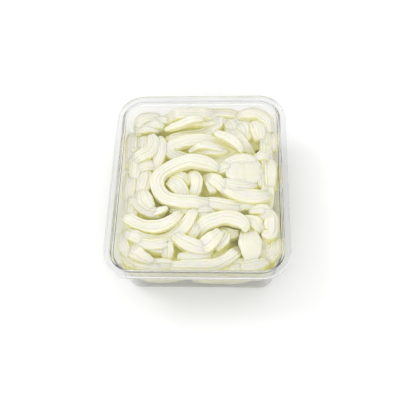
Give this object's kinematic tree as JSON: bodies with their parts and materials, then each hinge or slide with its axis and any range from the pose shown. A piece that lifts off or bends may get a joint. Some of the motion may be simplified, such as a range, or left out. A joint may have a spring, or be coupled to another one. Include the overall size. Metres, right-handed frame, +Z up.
{
  "type": "tub of sliced onion",
  "caption": "Open clear plastic tub with a flanged rim, packed with loose arcs, rings and strips of sliced fresh onion",
  "frame": {"origin": "centre of the tub's flat base, on the surface it stands on", "axes": "+Z up, +Y along the tub's long side, +X across it"},
  "size_m": [0.118, 0.137, 0.044],
  "materials": {
    "clear_plastic": "thin clear moulded plastic, glossy",
    "onion_flesh": "moist, slightly translucent creamy white onion flesh, pale green towards its outer layers",
    "onion_inner_flesh": "moist pale yellow-green onion flesh"
  },
  "bodies": {
    "root": {"bundle_floor": "onion_flesh", "bundle_inner": "onion_flesh", "bundle_outer": "onion_flesh", "bundle_rim": "onion_flesh", "central_loop": "onion_flesh", "corner_arc": "onion_flesh", "corner_petal": "onion_flesh", "diagonal_inner": "onion_flesh", "diagonal_outer": "onion_flesh", "eye_filler": "onion_flesh", "eye_floor_petal": "onion_flesh", "eye_ring": "onion_flesh", "far_hairpin": "onion_flesh", "far_hairpin_core": "onion_flesh", "far_petal": "onion_flesh", "far_wall_strip": "onion_flesh", "folded_loop": "onion_flesh", "large_u": "onion_flesh", "left_bright_strip": "onion_flesh", "left_tangle_band": "onion_flesh", "left_tangle_curl": "onion_flesh", "left_tangle_long": "onion_flesh", "left_tangle_strip": "onion_flesh", "left_under_petal": "onion_flesh", "left_wall_block": "onion_flesh", "left_wall_slice": "onion_flesh", "lower_petal_centre": "onion_inner_flesh", "lower_petal_left": "onion_inner_flesh", "lower_petal_right": "onion_inner_flesh", "middle_gap_strip": "onion_flesh", "near_floor_left": "onion_flesh", "near_floor_right": "onion_flesh", "near_gap_strip": "onion_flesh", "near_left_strip": "onion_flesh", "near_stub": "onion_flesh", "omega": "onion_flesh", "omega_inner": "onion_flesh", "right_arc_shadow": "onion_flesh", "right_bulb": "onion_flesh", "right_corner_arc": "onion_flesh", "right_crescent": "onion_flesh", "right_long_arc": "onion_flesh", "right_outer_loop": "onion_flesh", "right_under_petal": "onion_flesh", "right_under_strip": "onion_flesh", "right_wall_knob": "onion_flesh", "right_wall_tab_far": "onion_flesh", "right_wall_tab_near": "onion_flesh", "ring_cross_strip": "onion_flesh", "ring_floor_right": "onion_flesh", "ring_floor_strip": "onion_flesh", "ring_right_strip": "onion_flesh", "small_u": "onion_flesh", "small_u_core": "onion_flesh", "square_end": "onion_flesh", "tub": "clear_plastic", "upper_petal_far": "onion_inner_flesh", "upper_petal_middle": "onion_inner_flesh", "upper_petal_near": "onion_inner_flesh", "wide_drop": "onion_flesh"}
  },
  "joints": []
}
